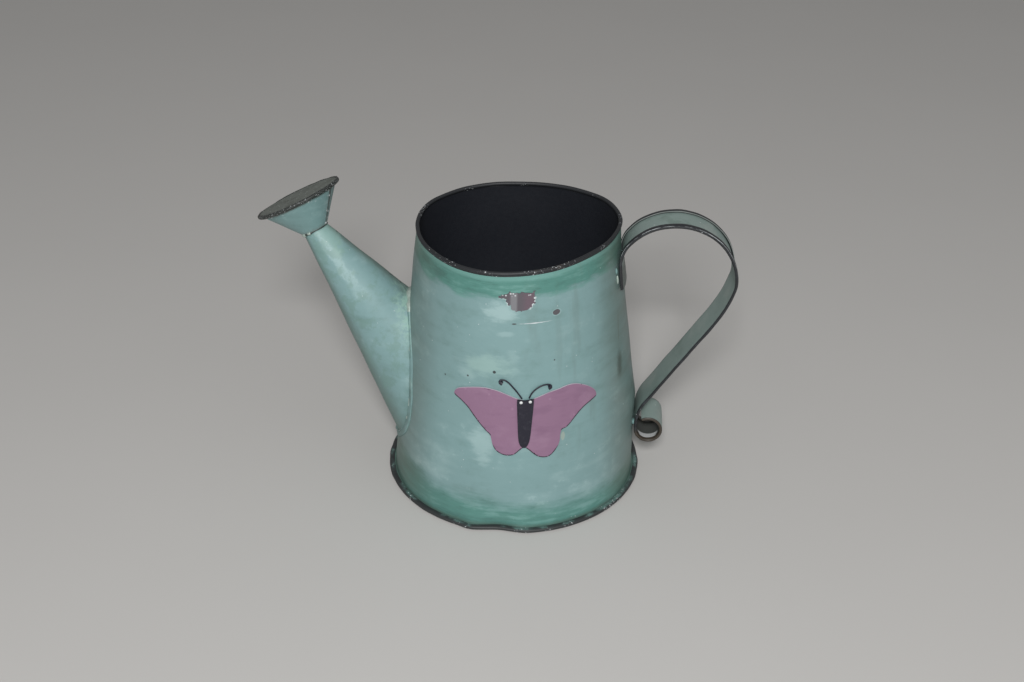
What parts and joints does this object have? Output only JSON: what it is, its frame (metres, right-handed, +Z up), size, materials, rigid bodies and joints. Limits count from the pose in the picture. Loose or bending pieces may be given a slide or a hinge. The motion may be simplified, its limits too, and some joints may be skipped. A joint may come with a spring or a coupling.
{
  "type": "watering can",
  "caption": "Small tapered tin watering can with a long soldered spout, a flared perforated rose, a strap handle ending in a scroll, and a butterfly ornament on its front.",
  "frame": {"origin": "centre of the base's underside, where the can stands", "axes": "+Z up along the can's axis; the spout points along -X and the handle along +X, so the length runs along X; the butterfly is on the -Y side"},
  "size_m": [0.2217, 0.1216, 0.1486],
  "materials": {
    "body_paint": "worn grey-green paint, semi-gloss, darker at rim and base",
    "rim_metal": "dark wire",
    "base_paint": "blackened, chipped",
    "spout_paint": "worn grey-green paint, brown at the edges",
    "solder": "dull solder, partly painted over",
    "rose_metal": "olive-grey, speckled, black chipped edge",
    "handle_paint": "worn grey-green paint with blackened folded edges",
    "wing_paint": "mauve, brushed with lighter and darker strokes",
    "insect_paint": "dark satin"
  },
  "bodies": {
    "root": {"body_wall": "body_paint", "rim_wire": "rim_metal", "base_plate": "base_paint", "spout_cone": "spout_paint", "spout_solder": "solder", "rose_cone": "spout_paint", "rose_face": "rose_metal", "rose_neck_solder": "solder", "handle_strip": "handle_paint", "handle_top_solder": "solder", "handle_foot_solder": "solder", "butterfly_wings": "wing_paint", "butterfly_body": "insect_paint", "antenna_left": "insect_paint", "antenna_right": "insect_paint"}
  },
  "joints": []
}
